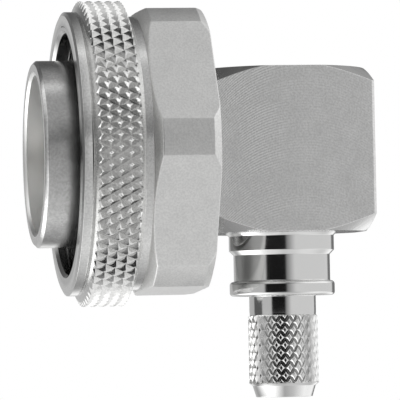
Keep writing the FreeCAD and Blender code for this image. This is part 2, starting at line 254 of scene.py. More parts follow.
TUBE_RADIUS = 10.6
TUBE_LENGTH = 6.9
TUBE_BORE = 9.0
TUBE_BORE_DEPTH = 7.2
RIM_CHAMFER = 0.36
BORE_CHAMFER = 0.3
LINE_BORE = 8.0
LINE_END = 14.2
FLANGE_FACE = 8.6
FLANGE_BACK = 10.0
FLANGE_RADIUS = 13.3
FLANGE_CHAMFER = 0.3
GASKET_SEAT = 10.9
JOURNAL_RADIUS = 11.0
SEAL_GROOVE_FRONT = 11.8
SEAL_GROOVE_BACK = 13.5
SEAL_GROOVE_RADIUS = 9.5
BLOCK_LEFT = 19.0
SPIGOT_RADIUS = 7.0
SPIGOT_END = 23.0
SPIGOT_CHAMFER = 0.3
STEM_SLEEVE = 5.5
contact = turned("outer_contact_turned", [
    (BORE_CHAMFER, TUBE_BORE, 0.05),
    (0.0, TUBE_BORE + BORE_CHAMFER, 0.06),
    (0.0, TUBE_RADIUS - RIM_CHAMFER, 0.12),
    (RIM_CHAMFER, TUBE_RADIUS, 0.12),
    (TUBE_LENGTH, TUBE_RADIUS, 0),
    (TUBE_LENGTH, GASKET_SEAT, 0.05),
    (FLANGE_FACE, GASKET_SEAT, 0),
    (FLANGE_FACE, FLANGE_RADIUS - FLANGE_CHAMFER, 0.06),
    (FLANGE_FACE + FLANGE_CHAMFER, FLANGE_RADIUS, 0.06),
    (FLANGE_BACK, FLANGE_RADIUS, 0.08),
    (FLANGE_BACK, JOURNAL_RADIUS, 0),
    (SEAL_GROOVE_FRONT, JOURNAL_RADIUS, 0.05),
    (SEAL_GROOVE_FRONT, SEAL_GROOVE_RADIUS, 0),
    (SEAL_GROOVE_BACK, SEAL_GROOVE_RADIUS, 0),
    (SEAL_GROOVE_BACK, JOURNAL_RADIUS, 0.05),
    (BLOCK_LEFT, JOURNAL_RADIUS, 0.1),
    (BLOCK_LEFT, SPIGOT_RADIUS, 0),
    (SPIGOT_END - SPIGOT_CHAMFER, SPIGOT_RADIUS, 0),
    (SPIGOT_END, SPIGOT_RADIUS - SPIGOT_CHAMFER, 0),
    (SPIGOT_END, STEM_SLEEVE, 0),
    (LINE_END, STEM_SLEEVE, 0),
    (LINE_END, LINE_BORE, 0),
    (TUBE_BORE_DEPTH, LINE_BORE, 0.05),
    (TUBE_BORE_DEPTH, TUBE_BORE, 0),
])

bright_plate, place = open_material("bright_plate")
along, side, height = split(place)
turning = tool_lines(along + noise(place, 0.9) * 0.2, pitch=0.16, height=0.00012)
grain = noise(place, 7.0) * 0.0009
cloud = noise(place, 0.45, detail=4.0)
specks = noise(place, 3.5, detail=3.0)
wear = cloud.rise(0.3, 0.7) * 0.55 + specks.rise(0.3, 0.7) * 0.45
worn_plate = wear.mix((0.52, 0.52, 0.515, 1), (0.74, 0.74, 0.735, 1))
# Down the bore the plate colour is painted lighter: painted light that stands in for the bright
# reflections seen inside the bore.
bore_plate_painted_light = (0.92, 0.92, 0.91, 1)
in_bore = around(side, height).rise(TUBE_BORE + 0.6, TUBE_BORE + 0.2)
close_material(
    place,
    relief=turning + grain,
    Base_Color=in_bore.mix(worn_plate, bore_plate_painted_light),
    Metallic=1.0,
    Roughness=in_bore.mix(0.16, 0.3) + cloud * 0.1,
)
dress(contact, bright_plate, "connector", "plated_bright", "outer_contact")

# Face gasket and journal seal. The flat ring is black silicone, stretched over its
# seat on the flange, where the jack's rim presses on it. The round ring lies in the
# journal's groove under the nut.
GASKET_FRONT = 7.1
GASKET_RADIUS = 13.0
gasket = turned("face_gasket_ring", [
    (GASKET_FRONT, GASKET_SEAT, 0.2),
    (GASKET_FRONT, GASKET_RADIUS, 0.2),
    (FLANGE_FACE, GASKET_RADIUS, 0),
    (FLANGE_FACE, GASKET_SEAT, 0),
])

SEAL_SECTION = 0.75
SEAL_MIDDLE = 12.65
SEAL_CORNERS = 20
seal_outline = []
for k in range(SEAL_CORNERS):
    angle = 2 * math.pi * k / SEAL_CORNERS
    station = SEAL_MIDDLE + SEAL_SECTION * math.cos(angle)
    radius = JOURNAL_RADIUS - SEAL_SECTION + SEAL_SECTION * math.sin(angle)
    seal_outline.append((station, radius, 0))
seal = turned("journal_seal_ring", seal_outline)

silicone, place = open_material("black_silicone")
close_material(
    place,
    relief=noise(place, 9.0) * 0.004,
    Base_Color=noise(place, 2.0).mix((0.016, 0.016, 0.017, 1), (0.03, 0.03, 0.031, 1)),
    Roughness=0.5 + noise(place, 3.0) * 0.2,
)
dress(gasket, silicone, "connector", "seal_rubber", "face_gasket")
dress(seal, silicone, "connector", "seal_rubber", "journal_seal")

# Slip ring. White fluoropolymer washer between the nut's inner shoulder and the
# flange, so that the nut turns and is held without metal rubbing on metal.
RING_FRONT = 13.75
RING_BACK = 14.55
RING_BORE = 11.15
RING_RADIUS = 13.5
slip_ring = turned("slip_ring_washer", [
    (RING_FRONT, RING_BORE, 0.04),
    (RING_FRONT, RING_RADIUS, 0.04),
    (RING_BACK, RING_RADIUS, 0.04),
    (RING_BACK, RING_BORE, 0.04),
])

fluoropolymer, place = open_material("white_fluoropolymer")
close_material(
    place,
    relief=tool_lines(around(*split(place)[1:]), pitch=0.12, height=0.001),
    Base_Color=noise(place, 0.8).mix((0.80, 0.80, 0.775, 1), (0.86, 0.86, 0.84, 1)),
    Roughness=0.38 + noise(place, 2.0) * 0.12,
    Subsurface_Weight=0.15,
    Subsurface_Scale=0.0008,
)
dress(slip_ring, fluoropolymer, "carrier", "white_insulator", "slip_ring")

# Coupling nut. One brass piece: a nose with a line groove, a diamond knurl for the
# fingers, a plain neck and a hexagon for the spanner, cut from round bar so that the
# hexagon's corners stay round. Threaded M29 by 1.5 inside.
NUT_FRONT = 3.4
NUT_BACK = 18.8
NOSE_RIM = 15.7
NOSE_RADIUS = 16.1
NOSE_CHAMFER_LENGTH = 0.2
LINE_GROOVE = 4.63
LINE_GROOVE_HALF = 0.15
LINE_GROOVE_RADIUS = 15.92
BAND_START = 4.8
BAND_FLAT_START = 5.35
BAND_FLAT_END = 9.73
BAND_END = 10.28
SHOULDER = 16.15
CREST = 17.35
KNURL_STOCK = 0.05
KNURL_CELL = 8
TOOTH_ROUNDING = 0.35
NUT_NECK_START = 10.53
NUT_NECK = 15.55
HEX_FRONT = 11.4
HEX_FLAT = 15.725
HEX_BAR = 17.1
HEX_BACK_FACE = 16.5
HEX_FRONT_SLOPE = 0.8 / 1.55
HEX_BACK_SLOPE = 0.87 / 0.6
HEX_TURN = math.radians(3.4)
FLAT_STEPS = 20
JOINED_DEPTH = 0.5
CUT_PAST = 1.0


def machined(piece, operation, tool):
    """Piece with a tool shape added, taken away or kept in common."""
    cut = piece.modifiers.new("cut", "BOOLEAN")
    cut.operation = operation
    cut.solver = "MANIFOLD"
    cut.object = tool
    evaluated_mesh(piece)
    bpy.data.objects.remove(tool)
    return piece


def knurl_tile():
    """One tooth of a diamond knurl, flat, with the grooves along its diagonals."""
    count = 2 * KNURL_CELL + 1
    places = []
    for j in range(KNURL_CELL + 1):
        places += [(i / KNURL_CELL, j / KNURL_CELL, 0) for i in range(count)]
    faces = []
    for j in range(KNURL_CELL):
        for i in range(count - 1):
            a = j * count + i
            b = a + 1
            c = a + count + 1
            d = a + count
            leaning = i < KNURL_CELL
            faces += [(a, b, c), (a, c, d)] if leaning else [(a, b, d), (b, c, d)]
    mesh = bpy.data.meshes.new("knurl_tile")
    mesh.from_pydata(places, [], faces)
    tile = bpy.data.objects.new("knurl_tile", mesh)
    bpy.context.scene.collection.objects.link(tile)
    return tile


def close_tree(tree, whole, metal):
    """Ends a node tree with one real mesh in its material."""
    whole = whole.node("GeometryNodeRealizeInstances", None, {"Geometry": whole})
    whole = whole.node("GeometryNodeSetMaterial", None, {"Geometry": whole, "Material": metal})
    output = tree.nodes.new("NodeGroupOutput")
    tree.links.new(whole.socket, output.inputs["Geometry"])
    return tree


def knurl_tree(name):
    """Nodes that repeat the tile in rows and wrap them round the X axis."""
    tree = bpy.data.node_groups.new(name, "GeometryNodeTree")
    face = tree.interface
    face.new_socket("Tile", in_out="INPUT", socket_type="NodeSocketGeometry")
    for label in ("Teeth", "Rows"):
        face.new_socket(label, in_out="INPUT", socket_type="NodeSocketInt")
    for label in ("Start", "Row Length", "Root", "Crest", "Flank Share", "Tooth Rounding"):
        face.new_socket(label, in_out="INPUT", socket_type="NodeSocketFloat")
    face.new_socket("Material", in_out="INPUT", socket_type="NodeSocketMaterial")
    face.new_socket("Geometry", in_out="OUTPUT", socket_type="NodeSocketGeometry")
    tile = Wire(tree).node("NodeGroupInput", output="Tile")
    teeth = tile.other("Teeth")
    rows = tile.other("Rows")
    start = tile.other("Start")
    length = tile.other("Row Length")
    root = tile.other("Root")
    crest = tile.other("Crest")
    flank = tile.other("Flank Share")
    sizes = {"Size X": teeth - 1.0, "Size Y": rows - 1.0, "Vertices X": teeth, "Vertices Y": rows}
    points = tile.node("GeometryNodeMeshGrid", None, sizes, "Mesh")
    column, row = split(points.node("GeometryNodeInputPosition"))[:2]
    column = column + (teeth - 1.0) / 2.0
    row = row + (rows - 1.0) / 2.0
    shifted = column * 2.0 + row.math("MODULO", 2.0).math("ROUND")
    spot = points.node("ShaderNodeCombineXYZ", None, {"X": shifted, "Y": row})
    points = points.node("GeometryNodeSetPosition", None, {"Geometry": points, "Position": spot})
    copies = points.node("GeometryNodeInstanceOnPoints", None, {"Points": points, "Instance": tile})
    whole = copies.node("GeometryNodeRealizeInstances", None, {"Geometry": copies})
    across, down = split(whole.node("GeometryNodeInputPosition"))[:2]
    one_way = (across + down).math("PINGPONG", 1.0)
    other_way = (across - down).math("PINGPONG", 1.0)
    diamond = one_way.math("MINIMUM", other_way) / flank
    lift = diamond.math("SMOOTH_MIN", 1.0, tile.other("Tooth Rounding"))
    radius = root + (crest - root) * lift
    angle = across * math.pi / teeth
    wrapped = whole.node("ShaderNodeCombineXYZ", None, {
        "X": start + down * length,
        "Y": radius * angle.math("COSINE"),
        "Z": radius * angle.math("SINE"),
    })
    whole = whole.node("GeometryNodeSetPosition", None, {"Geometry": whole, "Position": wrapped})
    whole = whole.node("GeometryNodeMergeByDistance", None, {"Geometry": whole, "Distance": 0.002})
    return close_tree(tree, whole, tile.other("Material"))


def from_nodes(piece, tree, **values):
    """Runs a node tree on a piece with its named inputs and keeps the plain mesh."""
    if not piece.users_collection:
        bpy.context.scene.collection.objects.link(piece)
    modifier = piece.modifiers.new("form", "NODES")
    modifier.node_group = tree
    inputs = [item for item in tree.interface.items_tree if item.in_out == "INPUT"]
    sockets = {item.name: item.identifier for item in inputs}
    for name, value in values.items():
        modifier[sockets[name.replace("_", " ")]] = value
    return evaluated_mesh(piece)


def guarded(piece, reach, radius):
    """Closes a knurled sleeve with wide ends, so that it limits only its own band."""
    work = bmesh.new()
    work.from_mesh(piece.data)
    ends = {vertex for edge in work.edges if edge.is_boundary for vertex in edge.verts}
    middle = sum(vertex.co.x for vertex in ends) / len(ends)
    for vertex in ends:
        spoke = Vector((vertex.co.y, vertex.co.z)).normalized() * radius
        away = reach if vertex.co.x > middle else -reach
        vertex.co = (vertex.co.x + away, spoke.x, spoke.y)
    bmesh.ops.holes_fill(work, edges=work.edges, sides=0)
    bmesh.ops.recalc_face_normals(work, faces=work.faces)
    work.to_mesh(piece.data)
    work.free()


def eased(before, corner, after):
    """Point just inside a corner, so that the corner's edge is softly broken."""
    return before * 0.25 + corner * 0.5 + after * 0.25


def rounded_bar_outline(flats, flat_radius, bar_radius, turn, edge):
    """Section of a bar with flat sides whose corners were turned round."""
    points = []
    half_sector = math.pi / flats
    flat_end = math.acos(flat_radius / bar_radius)
    for side_number in range(flats):
        middle = turn + 2 * half_sector * side_number
        normal = Vector((math.cos(middle), math.sin(middle)))
        along_flat = Vector((-normal.y, normal.x))
        half_width = flat_radius * math.tan(flat_end)
        for k in range(2 * FLAT_STEPS + 1):
            reach = (half_width - edge) * (k / FLAT_STEPS - 1)
            points.append(normal * flat_radius + along_flat * reach)
        strip = 2 * (half_sector - flat_end)
        edge_turn = edge / bar_radius
        count = max(3, int(math.degrees(strip)) + 1)
        start_corner = normal * flat_radius + along_flat * half_width
        arc = []
        for k in range(count + 1):
            angle = middle + flat_end + edge_turn + (strip - 2 * edge_turn) * k / count
            arc.append(Vector((math.cos(angle), math.sin(angle))) * bar_radius)
        last = middle + flat_end + strip
        end_corner = Vector((math.cos(last), math.sin(last))) * bar_radius
        following = middle + 2 * half_sector
        next_normal = Vector((math.cos(following), math.sin(following)))
        next_along = Vector((-next_normal.y, next_normal.x))
        next_flat = next_normal * flat_radius - next_along * (half_width - edge)
        points.append(eased(points[-1], start_corner, arc[0]))
        points += arc
        points.append(eased(arc[-1], end_corner, next_flat))
    return points


def faced_bar(name, outline, ends, edge, axis, centre=0.0):
    """Bar cut to length, each end chamfered about its axis and its edges broken.

    ends holds, for the low and the high end, the station, the radius where the
    chamfer starts and its slope, as length for each unit of radius.
    """
    no_length = 1e-6
    rows = []
    for (station, chamfer_radius, slope), inward in zip(ends, (1.0, -1.0)):
        block = []
        for point in outline:
            radius = point.length
            start = Vector((min(chamfer_radius, radius), station))
            drop = max(0.0, radius - chamfer_radius) * slope
            end = Vector((radius, station + inward * drop))
            length = (end - start).length
            inner = start - Vector((edge, 0))
            outer = end + Vector((0, inward * edge))
            step = Vector((0, 0))
            if length > no_length:
                step = (end - start) * (min(edge, length / 2) / length)
            softened = inner * 0.25 + start * 0.25 + end * 0.25 + outer * 0.25
            share = max(0.0, 1 - length / (2 * edge))
            first = (start + step).lerp(softened, share)
            second = (end - step).lerp(softened, share)
            block.append([
                inner,
                eased(inner, start, first) if share < 1 else inner.lerp(first, 0.5),
                first,
                second,
                eased(second, end, outer) if share < 1 else outer.lerp(second, 0.5),
                outer,
            ])
        rings = [[column[k] for column in block] for k in range(6)]
        rows.append(rings if inward > 0 else rings[::-1])
    places = []
    rings = []
    for ring in rows[0] + rows[1]:
        rings.append(range(len(places), len(places) + len(outline)))
        for point, (radius, station) in zip(outline, ring):
            side, far = point.normalized() * radius
            places.append((station, side, far) if axis == "X" else (centre + side, far, station))
    faces = [list(rings[0]), list(rings[-1])]
    count = len(outline)
    for ring, following in zip(rings, rings[1:]):
        for j in range(count):
            k = (j + 1) % count
            faces.append([ring[j], ring[k], following[k], following[j]])
    return mesh_piece(name, places, faces)


def thread_tree():
    """Nodes that sweep a trapezoid section along a helix."""
    tree = bpy.data.node_groups.new("thread_groove", "GeometryNodeTree")
    face = tree.interface
    for label in ("Turns", "Radius", "Pitch", "Root Width", "Mouth Width", "Depth"):
        face.new_socket(label, in_out="INPUT", socket_type="NodeSocketFloat")
    face.new_socket("Material", in_out="INPUT", socket_type="NodeSocketMaterial")
    face.new_socket("Geometry", in_out="OUTPUT", socket_type="NodeSocketGeometry")
    turns = Wire(tree).node("NodeGroupInput", output="Turns")
    radius = turns.other("Radius")
    helix = turns.node("GeometryNodeCurveSpiral", None, {
        "Resolution": 120,
        "Rotations": turns,
        "Start Radius": radius,
        "End Radius": radius,
        "Height": turns * turns.other("Pitch"),
        "Reverse": True,
    })
    helix = helix.node("GeometryNodeSetCurveNormal", {"mode": "Z_UP"}, {"Curve": helix})
    section = helix.node("GeometryNodeCurvePrimitiveQuadrilateral", {"mode": "TRAPEZOID"}, {
        "Height": turns.other("Depth"),
        "Bottom Width": turns.other("Root Width"),
        "Top Width": turns.other("Mouth Width"),
        "Offset": 0.0,
    })
    section = section.node("GeometryNodeTransform", None, {
        "Geometry": section, "Rotation": (0, 0, -math.pi / 2)})
    groove = helix.node("GeometryNodeCurveToMesh", None, {
        "Curve": helix, "Profile Curve": section, "Fill Caps": True})
    return close_tree(tree, groove, turns.other("Material"))


nut_plate, place = open_material("nut_plate")
along, side, height = split(place)
off_axis = around(side, height)
normal_x = split(place.node("ShaderNodeTexCoord", output="Normal"))[0]
end_faces = normal_x.math("ABSOLUTE").rise(0.55, 0.75)
on_hexagon = along.rise(HEX_FRONT, HEX_FRONT + 0.05)
round_lines = tool_lines(along, pitch=0.15, height=0.0006)
facing_lines = tool_lines(off_axis, pitch=0.12, height=0.0008)
turning = end_faces.mix(round_lines, facing_lines)
stretch = place.node("ShaderNodeCombineXYZ", None, {"X": along * 5.0, "Y": side, "Z": height})
brushed = noise(stretch, 1.2, detail=3.0) * 0.006
grain = noise(place, 6.0) * 0.003
cloud = noise(place, 0.4, detail=4.0)
speckle = noise(place, 4.5, detail=3.0)
shade = cloud * 0.5 + speckle.rise(0.3, 0.7) * 0.5
satin_plate = shade.mix((0.64, 0.64, 0.635, 1), (0.84, 0.84, 0.83, 1))
# Inside the nut the plate colour is painted darker: painted shade for the shadow in the nut's mouth
# and thread.
nut_inside_painted_shade = (0.5, 0.5, 0.495, 1)
inside_nut = off_axis.rise(15.2, 14.6)
close_material(
    place,
    relief=turning + grain + on_hexagon * (brushed + speckle * 0.008),
    Base_Color=inside_nut.mix(satin_plate, nut_inside_painted_shade),
    Metallic=1.0,
    Roughness=on_hexagon.mix(0.14, 0.4) + cloud * 0.08,
)

nut = turned("coupling_nut_machined", [
    (NUT_FRONT, 0, 0),
    (NUT_FRONT, NOSE_RIM, 0),
    (NUT_FRONT + NOSE_CHAMFER_LENGTH, NOSE_RADIUS, 0.04),
    (LINE_GROOVE - LINE_GROOVE_HALF, NOSE_RADIUS, 0.03),
    (LINE_GROOVE, LINE_GROOVE_RADIUS, 0),
    (LINE_GROOVE + LINE_GROOVE_HALF, NOSE_RADIUS, 0.02),
    (BAND_START, SHOULDER, 0),
    (BAND_FLAT_START, CREST + KNURL_STOCK, 0),
    (BAND_FLAT_END, CREST + KNURL_STOCK, 0),
    (BAND_END, SHOULDER, 0),
    (NUT_NECK_START, NUT_NECK, 0.05),
    (HEX_FRONT + JOINED_DEPTH, NUT_NECK, 0),
    (HEX_FRONT + JOINED_DEPTH, 0, 0),
])
knurl_nodes = knurl_tree("diamond_knurl")
sleeve = from_nodes(
    knurl_tile(),
    knurl_nodes,
    Teeth=80,
    Rows=6,
    Start=4.18,
    Row_Length=1.12,
    Root=16.7,
    Crest=CREST,
    Flank_Share=0.85,
    Tooth_Rounding=TOOTH_ROUNDING,
    Material=nut_plate,
)
guarded(sleeve, reach=10.0, radius=21.0)
sleeve.data.transform(Matrix.Scale(MM, 4))
nut = machined(nut, "INTERSECT", sleeve)
hexagon = faced_bar(
    "hexagon",
    rounded_bar_outline(6, HEX_FLAT, HEX_BAR, turn=math.pi - HEX_TURN + math.pi / 6, edge=0.08),
    ((HEX_FRONT, NUT_NECK, HEX_FRONT_SLOPE), (NUT_BACK, HEX_BACK_FACE, HEX_BACK_SLOPE)),
    edge=0.1,
    axis="X",
)
nut = machined(nut, "UNION", hexagon)
MOUTH_RADIUS = 14.05
MOUTH_CHAMFER = 0.35
THREAD_START = 3.95
THREAD_END = 11.0
THREAD_MINOR = 13.7
THREAD_PITCH = 1.5
THREAD_DEPTH = 0.9
RELIEF_END = 12.6
CAVITY_END = 14.6
NUT_BORE = 11.1
NUT_BORE_CHAMFER = 0.4
inside = turned("nut_inside", [
    (NUT_FRONT - CUT_PAST, 0, 0),
    (NUT_FRONT - CUT_PAST, MOUTH_RADIUS, 0),
    (NUT_FRONT, MOUTH_RADIUS, 0.03),
    (NUT_FRONT + MOUTH_CHAMFER, THREAD_MINOR, 0),
    (THREAD_END - THREAD_DEPTH, THREAD_MINOR, 0),
    (THREAD_END, THREAD_MINOR + THREAD_DEPTH, 0),
    (RELIEF_END, THREAD_MINOR + THREAD_DEPTH, 0),
    (RELIEF_END, THREAD_MINOR, 0),
    (CAVITY_END, THREAD_MINOR, 0),
    (CAVITY_END, NUT_BORE, 0),
    (NUT_BACK - NUT_BORE_CHAMFER, NUT_BORE, 0),
    (NUT_BACK, NUT_BORE + NUT_BORE_CHAMFER, 0),
    (NUT_BACK + CUT_PAST, NUT_BORE + NUT_BORE_CHAMFER, 0),
    (NUT_BACK + CUT_PAST, 0, 0),
])
nut = machined(nut, "DIFFERENCE", inside)
thread = from_nodes(
    bpy.data.objects.new("thread", bpy.data.meshes.new("thread")),
    thread_tree(),
    Turns=5.0,
    Radius=MOUTH_RADIUS,
    Pitch=THREAD_PITCH,
    Root_Width=0.19,
    Mouth_Width=1.24,
    Depth=THREAD_DEPTH,
    Material=nut_plate,
)
lying = Matrix.Rotation(math.pi / 2, 4, "Y") @ Matrix.Scale(MM, 4)
start_on_top = Matrix.Rotation(math.pi, 4, "X")
thread.data.transform(Matrix.Translation((THREAD_START * MM, 0, 0)) @ start_on_top @ lying)
nut = machined(nut, "DIFFERENCE", thread)
finish_shading(nut)
dress(nut, nut_plate, "nut", "plated_satin", "coupling_nut")

# Elbow block. Square brass bar with a cross bore for the spigot and a chamber for
# the solder joint, faced and chamfered about the neck axis. The cable neck with its
# knurl for the crimp is turned on it, and is left brighter than the milled sides.
NECK_AXIS = 28.3
BLOCK_HALF = 9.3
BLOCK_BAR = 12.95
BLOCK_FACE_RADIUS = 9.8
BLOCK_CONE_SLOPE = math.tan(math.radians(30))
CAP_RADIUS = 6.5
CAP_SEAT = 7.7
CHAMBER = 4.8
CHAMBER_BOTTOM = -7.6
NECK_ROOT = -7.0
NECK_FILLET = 0.35
NECK_RADIUS = 6.0
FLANGE_FOOT = -11.3
WAIST_TOP = -11.8
WAIST = 5.5
COLLAR_TOP = -14.8
COLLAR_FOOT = -16.45
SHANK = 3.8
SHANK_FOOT = -18.3
NECK_KNURL_TOP = -18.65
NECK_KNURL_END = -26.39
NECK_CREST = 3.95
TIP_TOP_RADIUS = 3.6
TIP_RADIUS = 3.2
NECK_END = -27.99
NECK_BORE = 2.9
NECK_BORE_CHAMFER = 0.15
NECK_SEAT = 3.7
NECK_BORE_TOP = -12.99
HIDDEN_COLUMNS = 96
block = faced_bar(
    "elbow_block_machined",
    rounded_bar_outline(4, BLOCK_HALF, BLOCK_BAR, turn=0.0, edge=0.06),
    [(station, BLOCK_FACE_RADIUS, BLOCK_CONE_SLOPE) for station in (-BLOCK_HALF, BLOCK_HALF)],
    edge=0.07,
    axis="Z",
    centre=NECK_AXIS,
)
neck = turned("neck", [
    (NECK_ROOT, 0, 0),
    (NECK_ROOT, NECK_RADIUS + NECK_FILLET, 0),
    (-BLOCK_HALF, NECK_RADIUS + NECK_FILLET, 0),
    (-BLOCK_HALF - NECK_FILLET, NECK_RADIUS, 0.12),
    (FLANGE_FOOT, NECK_RADIUS, 0.12),
    (WAIST_TOP, WAIST, 0.1),
    (COLLAR_TOP, WAIST, 0.1),
    (COLLAR_TOP, NECK_RADIUS, 0.4),
    (COLLAR_FOOT, NECK_RADIUS, 0.4),
    (COLLAR_FOOT, SHANK, 0.1),
    (SHANK_FOOT, SHANK, 0),
    (SHANK_FOOT - 0.1, SHANK - 0.015, 0),
    (NECK_KNURL_TOP, SHANK - 0.02, 0),
    (NECK_KNURL_TOP - 0.15, NECK_CREST + 0.02, 0),
    (NECK_KNURL_END, NECK_CREST + 0.02, 0),
    (NECK_KNURL_END - 0.3, TIP_TOP_RADIUS, 0.05),
    (NECK_END, TIP_RADIUS, 0.1),
    (NECK_END, 0, 0),
], "Z", NECK_AXIS)
neck_sleeve = from_nodes(
    knurl_tile(),
    knurl_nodes,
    Teeth=24,
    Rows=9,
    Start=-NECK_KNURL_TOP,
    Row_Length=0.86,
    Root=3.68,
    Crest=NECK_CREST + 0.01,
    Flank_Share=0.6,
    Tooth_Rounding=TOOTH_ROUNDING,
    Material=nut_plate,
)
guarded(neck_sleeve, reach=12.0, radius=21.0)
upright = Matrix.Rotation(math.pi / 2, 4, "Y") @ Matrix.Scale(MM, 4)
neck_sleeve.data.transform(Matrix.Translation((NECK_AXIS * MM, 0, 0)) @ upright)
neck = machined(neck, "INTERSECT", neck_sleeve)
block = machined(block, "UNION", neck)
chamber = turned("chamber", [
    (BLOCK_HALF + CUT_PAST, 0, 0),
    (BLOCK_HALF + CUT_PAST, CAP_RADIUS, 0),
    (CAP_SEAT, CAP_RADIUS, 0),
    (CAP_SEAT, CHAMBER, 0),
    (CHAMBER_BOTTOM, CHAMBER, 0),
    (CHAMBER_BOTTOM, NECK_SEAT, 0),
    (NECK_BORE_TOP, NECK_SEAT, 0),
    (NECK_BORE_TOP, NECK_BORE, 0),
    (NECK_END + NECK_BORE_CHAMFER, NECK_BORE, 0),
    (NECK_END, NECK_BORE + NECK_BORE_CHAMFER, 0),
    (NECK_END - CUT_PAST, NECK_BORE + NECK_BORE_CHAMFER, 0),
    (NECK_END - CUT_PAST, 0, 0),
], "Z", NECK_AXIS, columns=HIDDEN_COLUMNS)
block = machined(block, "DIFFERENCE", chamber)
cross_bore = turned("cross_bore", [
    (BLOCK_LEFT - CUT_PAST, 0, 0),
    (BLOCK_LEFT - CUT_PAST, SPIGOT_RADIUS, 0),
    (SPIGOT_END, SPIGOT_RADIUS, 0),
    (SPIGOT_END, CHAMBER - 0.01, 0),
    (NECK_AXIS, CHAMBER - 0.01, 0),
    (NECK_AXIS, 0, 0),
], columns=HIDDEN_COLUMNS)
block = machined(block, "DIFFERENCE", cross_bore)
finish_shading(block)

block_plate, place = open_material("block_plate")
along, side, height = split(place)
centred = along - NECK_AXIS
off_axis = around(centred, side)
normal_y, normal_z = split(place.node("ShaderNodeTexCoord", output="Normal"))[1:]
cutter_reach = 12.5
front_and_back = normal_y.math("ABSOLUTE").rise(0.6, 0.8)
sideways = front_and_back.mix(side, centred - 1.1)
arcs = height - (cutter_reach * cutter_reach - sideways * sideways).math("SQRT")
end_faces = normal_z.math("ABSOLUTE").rise(0.3, 0.45)
on_neck = height.rise(-BLOCK_HALF, -BLOCK_HALF - 0.05)
patches = noise(place, 0.5, detail=3.0)
cutter_lines = tool_lines(arcs + noise(place, 0.7) * 0.08, pitch=0.31, height=1.0)
milling = cutter_lines * patches.rise(0.3, 0.6) * (centred.rise(1.0, -5.0) * 0.8 + 0.2)
facing = tool_lines(off_axis, pitch=0.13, height=0.1)
marks = end_faces.mix(milling, facing)
grain = noise(place, 4.5, detail=3.0)
turned_surface = end_faces.math("MAXIMUM", on_neck)
shade = patches * 0.5 + grain.rise(0.3, 0.7) * 0.5 + marks * 0.5
milled_plate = shade.mix((0.64, 0.64, 0.635, 1), (0.90, 0.90, 0.895, 1))
turned_plate = (0.72, 0.72, 0.715, 1)
close_material(
    place,
    relief=(1.0 - on_neck) * (marks * 0.003 + grain * 0.012) + on_neck * grain * 0.0006,
    Base_Color=turned_surface.mix(milled_plate, turned_plate),
    Metallic=1.0,
    Roughness=turned_surface.mix(0.42, 0.08) + patches * 0.06,
)
dress(block, block_plate, "connector", "plated_satin", "elbow_block")

# Access cap. Turned brass disc with chamfered edges, plated as the block is. It is
# pressed into the block's top after the contacts have been soldered through it.
CAP_CHAMFER = 0.2
CAP_GAP = 0.005
cap = turned("access_cap_disc", [
    (CAP_SEAT, 0, 0),
    (CAP_SEAT, CAP_RADIUS - CAP_CHAMFER, 0),
    (CAP_SEAT + CAP_CHAMFER, CAP_RADIUS - CAP_GAP, 0),
    (BLOCK_HALF - CAP_CHAMFER, CAP_RADIUS - CAP_GAP, 0.04),
    (BLOCK_HALF, CAP_RADIUS - CAP_CHAMFER, 0.04),
    (BLOCK_HALF, 0, 0),
], "Z", NECK_AXIS)
dress(cap, block_plate, "connector", "plated_satin", "access_cap")

# Centre contact and what holds it. The silver plated pin is turned with a waist for
# its front insulator and a stem that runs through a sleeve to the elbow, where the
# upright cable contact is soldered through it.
PIN_FRONT = 1.8
PIN_RADIUS = 3.5
PIN_WAIST = 2.5
INSULATOR_FRONT = 10.7
STEM_RADIUS = 1.7
STEM_END = 30.3
STEM_CHAMFER = 0.3
pin = turned("centre_pin_turned", [
    (PIN_FRONT, 0, 0),
    (PIN_FRONT, PIN_RADIUS, 1.2),
    (INSULATOR_FRONT, PIN_RADIUS, 0.03),
    (INSULATOR_FRONT, PIN_WAIST, 0),
    (LINE_END, PIN_WAIST, 0),
    (LINE_END, STEM_RADIUS, 0),
    (STEM_END - STEM_CHAMFER, STEM_RADIUS, 0),
    (STEM_END, STEM_RADIUS - STEM_CHAMFER, 0),
    (STEM_END, 0, 0),
], columns=HIDDEN_COLUMNS)
TAIL_RADIUS = 1.0
TAIL_TOP = 2.3
CONTACT_SHOULDER = -1.7
CONTACT_RADIUS = 1.6
CONTACT_END = -12.49
CUP_RADIUS = 0.95
CUP_BOTTOM = -5.49
cross_hole = turned("cross_hole", [
    (-2 * STEM_RADIUS, 0, 0),
    (-2 * STEM_RADIUS, TAIL_RADIUS, 0),
    (2 * STEM_RADIUS, TAIL_RADIUS, 0),
    (2 * STEM_RADIUS, 0, 0),
], "Z", NECK_AXIS, columns=48)
pin = machined(pin, "DIFFERENCE", cross_hole)
finish_shading(pin)
cable_contact = turned("cable_contact_turned", [
    (TAIL_TOP, 0, 0),
    (TAIL_TOP, TAIL_RADIUS, 0.1),
    (CONTACT_SHOULDER, TAIL_RADIUS, 0),
    (CONTACT_SHOULDER, CONTACT_RADIUS, 0.05),
    (CONTACT_END, CONTACT_RADIUS, 0.05),
    (CONTACT_END, CUP_RADIUS, 0),
    (CUP_BOTTOM, CUP_RADIUS, 0),
    (CUP_BOTTOM, 0, 0),
], "Z", NECK_AXIS, columns=64)

silver_plate, place = open_material("silver_plate")
cloud = noise(place, 1.1, detail=3.0)
close_material(
    place,
    relief=tool_lines(split(place)[0], pitch=0.1, height=0.0004) + noise(place, 8.0) * 0.001,
    Base_Color=cloud.mix((0.80, 0.785, 0.75, 1), (0.87, 0.86, 0.835, 1)),
    Metallic=1.0,
    Roughness=0.2 + cloud * 0.12,
)
dress(pin, silver_plate, "connector", "contact_silver", "centre_pin")
dress(cable_contact, silver_plate, "connector", "contact_silver", "cable_contact")

